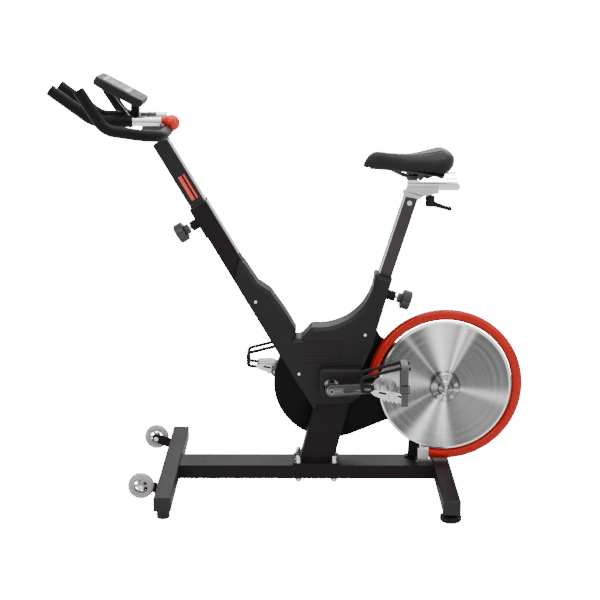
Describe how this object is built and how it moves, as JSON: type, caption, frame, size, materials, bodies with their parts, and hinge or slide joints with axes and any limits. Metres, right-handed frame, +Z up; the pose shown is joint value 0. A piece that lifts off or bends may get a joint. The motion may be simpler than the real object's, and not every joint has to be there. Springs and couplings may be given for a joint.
{
  "type": "exercise bike",
  "caption": "Indoor exercise bike with an open rear flywheel in a red guard ring, leaning mast with aero handlebars and console, sliding saddle, toe-cage pedals and transport wheels.",
  "frame": {"origin": "on the floor, under the middle of the bounding box", "axes": "+X towards the flywheel at the rear, -X towards the handlebars, -Y the rider's left side, +Z up"},
  "size_m": [1.3715, 0.66, 1.2315],
  "materials": {
    "frame_paint": "satin powder coat, black",
    "rear_stabiliser_paint": "satin powder coat, black",
    "casing_plastic": "fine-textured moulded plastic, near black",
    "guard_plastic": "fine-textured moulded plastic, black",
    "cap_plastic": "moulded plastic, black",
    "zinc_steel": "bright plated steel",
    "bearing_steel": "ground steel",
    "belt_rubber": "ribbed rubber",
    "ring_paint": "gloss red paint",
    "clamp_aluminium": "satin cast aluminium",
    "post_anodised": "dark anodised, satin",
    "strip_aluminium": "brushed aluminium",
    "bar_coating": "dipped soft coating, black",
    "bar_aluminium": "bright satin aluminium",
    "grip_rubber": "dipped soft coating, black",
    "console_plastic": "moulded plastic, black",
    "display_glass": "smoked display window",
    "button_rubber": "moulded rubber, grey",
    "lever_plastic": "gloss red moulded plastic",
    "knob_plastic": "moulded plastic, black, on a steel pin",
    "seat_post_anodised": "dark grey anodised, satin",
    "seat_aluminium": "satin aluminium",
    "clamp_paint": "gloss black paint",
    "rail_steel": "plated steel wire",
    "saddle_shell": "moulded plastic, black",
    "saddle_vinyl": "glossy black vinyl over foam",
    "crank_steel": "dark plated forged steel",
    "pulley_plastic": "moulded pulley",
    "pedal_alloy": "cast and polished aluminium",
    "toe_cage_plastic": "moulded nylon, black",
    "strap_webbing": "woven nylon webbing, black",
    "disc_aluminium": "spun and turned aluminium",
    "hub_aluminium": "turned aluminium",
    "magnet_steel": "steel arm with round magnets",
    "wheel_urethane": "smoky urethane tyre on a spoked nylon core",
    "foot_rubber": "black rubber on a steel stud"
  },
  "bodies": {
    "frame": {"base_beam": "frame_paint", "front_stabiliser": "frame_paint", "rear_stabiliser": "rear_stabiliser_paint", "stabiliser_caps_and_feet": "cap_plastic", "frame_bolts": "zinc_steel", "frame_column": "frame_paint", "mast_tube": "frame_paint", "seat_tube": "frame_paint", "bearings": "bearing_steel", "rear_stay": "frame_paint", "lower_strut": "frame_paint", "casing_left": "casing_plastic", "casing_right": "casing_plastic", "cover_screws": "zinc_steel", "belt_guard": "guard_plastic", "drive_belt": "belt_rubber", "guard_ring": "ring_paint", "ring_clamp": "clamp_aluminium", "pull_pin_housings": "frame_paint"},
    "handlebar": {"handlebar_post": "post_anodised", "height_scale_strip": "strip_aluminium", "stem_head": "bar_aluminium", "outer_bar": "bar_coating", "inner_bars": "bar_aluminium", "inner_bar_grips": "grip_rubber", "console_mount": "console_plastic", "console_body": "console_plastic", "console_display": "display_glass"},
    "console_button": {"console_button": "button_rubber"},
    "shift_lever": {"shift_lever": "lever_plastic"},
    "handlebar_pull_knob": {"handlebar_pull_knob": "knob_plastic"},
    "seat_pull_knob": {"seat_pull_knob": "knob_plastic"},
    "seat_post": {"seat_post": "seat_post_anodised", "seat_head": "seat_aluminium", "seat_post_bolt": "zinc_steel"},
    "saddle_slide": {"slide_bar": "seat_aluminium", "saddle_clamp": "clamp_paint", "saddle_rails": "rail_steel", "saddle_base": "saddle_shell", "saddle_pad": "saddle_vinyl"},
    "seat_lock_lever": {"seat_lock_lever": "knob_plastic"},
    "crank": {"crank_axle": "zinc_steel", "crank_pulley": "pulley_plastic", "left_crank": "crank_steel", "right_crank": "crank_steel", "pedal_spindles": "zinc_steel"},
    "left_pedal": {"left_pedal": "pedal_alloy", "left_toe_cage": "toe_cage_plastic", "left_strap": "strap_webbing"},
    "right_pedal": {"right_pedal": "pedal_alloy", "right_toe_cage": "toe_cage_plastic", "right_strap": "strap_webbing"},
    "flywheel": {"flywheel_disc": "disc_aluminium", "flywheel_hub": "hub_aluminium", "hub_screws": "zinc_steel"},
    "magnet_carrier": {"magnet_carrier": "magnet_steel"},
    "left_transport_wheel": {"left_transport_wheel": "wheel_urethane"},
    "right_transport_wheel": {"right_transport_wheel": "wheel_urethane"},
    "left_levelling_foot": {"left_levelling_foot": "foot_rubber"},
    "right_levelling_foot": {"right_levelling_foot": "foot_rubber"}
  },
  "joints": [
    {"name": "handlebar_height", "type": "slide", "parent": "frame", "child": "handlebar", "axis": [-0.5056, 0, 0.8628], "range_m": [-0.155, 0.04]},
    {"name": "handlebar_pin_pull", "type": "slide", "parent": "frame", "child": "handlebar_pull_knob", "axis": [-0.8628, 0, -0.5056], "range_m": [0, 0.008], "stiffness_N_per_m": 1200, "springref_m": -0.004},
    {"name": "seat_height", "type": "slide", "parent": "frame", "child": "seat_post", "axis": [0.2985, 0, 0.9544], "range_m": [-0.16, 0.04]},
    {"name": "seat_pin_pull", "type": "slide", "parent": "frame", "child": "seat_pull_knob", "axis": [0.9544, 0, -0.2985], "range_m": [0, 0.008], "stiffness_N_per_m": 1200, "springref_m": -0.004},
    {"name": "saddle_fore_aft", "type": "slide", "parent": "seat_post", "child": "saddle_slide", "axis": [1, 0, 0], "range_m": [-0.035, 0.035]},
    {"name": "seat_lock_turn", "type": "hinge", "parent": "seat_post", "child": "seat_lock_lever", "pos_m": [0.401, 0, 0.87], "axis": [0, 0, 1], "range_deg": [-110, 25]},
    {"name": "shift_lever_turn", "type": "hinge", "parent": "handlebar", "child": "shift_lever", "pos_m": [-0.402, 0, 1.113], "axis": [0, 1, 0], "range_deg": [-45, 0]},
    {"name": "magnet_swing", "type": "hinge", "parent": "frame", "child": "magnet_carrier", "pos_m": [0.352, 0.007, 0.396], "axis": [0, 1, 0], "range_deg": [-22.5, 0]},
    {"name": "console_button_press", "type": "slide", "parent": "handlebar", "child": "console_button", "axis": [-0.4695, 0, -0.8829], "range_m": [0, 0.0012], "stiffness_N_per_m": 400, "springref_m": -0.0005},
    {"name": "crank_spin", "type": "hinge", "parent": "frame", "child": "crank", "pos_m": [0.116, 0, 0.327], "axis": [0, 1, 0], "continuous": true},
    {"name": "flywheel_spin", "type": "hinge", "parent": "frame", "child": "flywheel", "pos_m": [0.4565, 0, 0.31], "axis": [0, 1, 0], "continuous": true},
    {"name": "left_pedal_spin", "type": "hinge", "parent": "crank", "child": "left_pedal", "pos_m": [0.28559, -0.1685, 0.33886], "axis": [0, 1, 0], "continuous": true},
    {"name": "right_pedal_spin", "type": "hinge", "parent": "crank", "child": "right_pedal", "pos_m": [-0.05359, 0.1685, 0.31514], "axis": [0, 1, 0], "continuous": true},
    {"name": "left_wheel_spin", "type": "hinge", "parent": "frame", "child": "left_transport_wheel", "pos_m": [-0.437, -0.21, 0.069], "axis": [0, 1, 0], "continuous": true},
    {"name": "right_wheel_spin", "type": "hinge", "parent": "frame", "child": "right_transport_wheel", "pos_m": [-0.437, 0.21, 0.069], "axis": [0, 1, 0], "continuous": true},
    {"name": "left_foot_turn", "type": "hinge", "parent": "frame", "child": "left_levelling_foot", "pos_m": [0.452, -0.297, 0.02], "axis": [0, 0, 1], "continuous": true},
    {"name": "right_foot_turn", "type": "hinge", "parent": "frame", "child": "right_levelling_foot", "pos_m": [0.452, 0.297, 0.02], "axis": [0, 0, 1], "continuous": true}
  ],
  "couplings": [
    {"joint": "crank_spin", "follows": "flywheel_spin", "ratio": 0.16667},
    {"joint": "magnet_swing", "follows": "shift_lever_turn", "ratio": 0.5}
  ]
}
